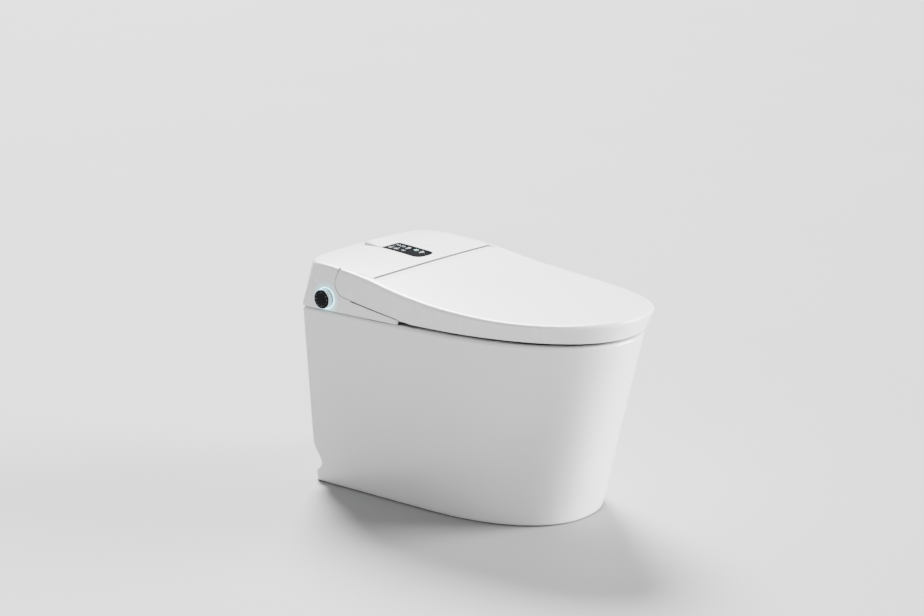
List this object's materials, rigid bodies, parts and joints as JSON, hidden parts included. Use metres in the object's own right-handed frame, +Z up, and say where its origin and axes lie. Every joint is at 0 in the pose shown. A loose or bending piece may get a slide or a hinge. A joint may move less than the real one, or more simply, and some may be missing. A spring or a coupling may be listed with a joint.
{
  "type": "electric bidet seat toilet",
  "caption": "One-piece floor-standing toilet with a built-in electric bidet seat: sloping lid on curved arms, heated seat, wash nozzle, dryer, side knob with light ring and a top display.",
  "frame": {"origin": "centre of the footprint box, on the floor", "axes": "+Z up, -Y out of the wall towards the user, +X to the side away from the rotary knob"},
  "size_m": [0.4266, 0.7, 0.496],
  "materials": {
    "glaze": "gloss white glaze",
    "white_plastic": "gloss white moulding",
    "inner_plastic": "satin off-white moulding",
    "grey_plastic": "satin grey moulding",
    "dark_plastic": "satin black moulding",
    "black_glass": "gloss black printed glass",
    "black_gloss": "gloss black",
    "silver_trim": "satin silver plating",
    "light_ring": "translucent, lit pale blue",
    "circuit_board": "solder mask green",
    "steel": "brushed",
    "brass": "satin",
    "hose": "braided grey hose",
    "heater_film": "foil heater",
    "carbon": "granular black",
    "rubber": "matt grey"
  },
  "bodies": {
    "pan": {"ceramic_pan": "glaze", "water_tank": "inner_plastic", "booster_pump": "dark_plastic", "flush_valve": "grey_plastic", "supply_inlet": "brass", "supply_hose": "hose", "base_plate": "inner_plastic", "top_cover": "white_plastic", "display_glass": "black_glass", "display_pod": "white_plastic", "display_board": "circuit_board", "nozzle_guide": "grey_plastic", "nozzle_motor": "steel", "heater_tank": "inner_plastic", "inlet_valve": "grey_plastic", "wash_pump": "dark_plastic", "power_supply": "steel", "control_board": "circuit_board", "lid_motor": "dark_plastic", "lid_damper": "dark_plastic", "blower_housing": "grey_plastic", "dryer_duct": "grey_plastic", "deodoriser_case": "grey_plastic", "carbon_filter": "carbon", "light_ring": "light_ring", "knob_encoder": "dark_plastic", "seat_bracket_left": "inner_plastic", "seat_bracket_right": "inner_plastic"},
    "lid": {"lid_shell": "white_plastic", "lid_liner": "inner_plastic", "lid_bumper_front_left": "rubber", "lid_bumper_front_right": "rubber", "lid_bumper_rear_left": "rubber", "lid_bumper_rear_right": "rubber", "lid_pin_left": "steel", "lid_pin_right": "steel"},
    "seat": {"seat_top": "white_plastic", "seat_base": "inner_plastic", "seat_heater": "heater_film", "seat_bumper_front_left": "rubber", "seat_bumper_front_right": "rubber", "seat_bumper_rear_left": "rubber", "seat_bumper_rear_right": "rubber", "seat_pin_left": "steel", "seat_pin_right": "steel"},
    "knob_stem": {"knob_stem": "dark_plastic"},
    "knob": {"knob_ring": "silver_trim", "knob_face": "black_gloss"},
    "nozzle": {"nozzle_wand": "steel", "nozzle_tip": "white_plastic"},
    "dryer_flap": {"dryer_flap": "white_plastic"},
    "dryer_rotor": {"dryer_rotor": "dark_plastic"},
    "deodoriser_rotor": {"deodoriser_rotor": "dark_plastic"}
  },
  "joints": [
    {"name": "lid_hinge", "type": "hinge", "parent": "pan", "child": "lid", "pos_m": [0, 0.2375, 0.469], "axis": [-1, 0, 0], "range_deg": [0, 95]},
    {"name": "seat_hinge", "type": "hinge", "parent": "pan", "child": "seat", "pos_m": [0, 0.135, 0.404], "axis": [-1, 0, 0], "range_deg": [0, 94]},
    {"name": "knob_press", "type": "slide", "parent": "pan", "child": "knob_stem", "axis": [1, 0, 0], "range_m": [0, 0.0015], "stiffness_N_per_m": 600, "springref_m": -0.002},
    {"name": "knob_turn", "type": "hinge", "parent": "knob_stem", "child": "knob", "pos_m": [-0.2, 0.282, 0.413], "axis": [-1, 0, 0], "continuous": true},
    {"name": "nozzle_slide", "type": "slide", "parent": "pan", "child": "nozzle", "axis": [0, -0.891, -0.454], "range_m": [0, 0.09]},
    {"name": "flap_hinge", "type": "hinge", "parent": "pan", "child": "dryer_flap", "pos_m": [0.05975, 0.157, 0.409], "axis": [-1, 0, 0], "range_deg": [0, 30]},
    {"name": "dryer_fan", "type": "hinge", "parent": "pan", "child": "dryer_rotor", "pos_m": [0.092, 0.238, 0.408], "axis": [0, 0, 1], "continuous": true},
    {"name": "deodoriser_fan", "type": "hinge", "parent": "pan", "child": "deodoriser_rotor", "pos_m": [-0.112, 0.23, 0.407], "axis": [0, 0, 1], "continuous": true}
  ],
  "couplings": [
    {"joint": "seat_hinge", "follows": "lid_hinge", "ratio": 0.985}
  ]
}
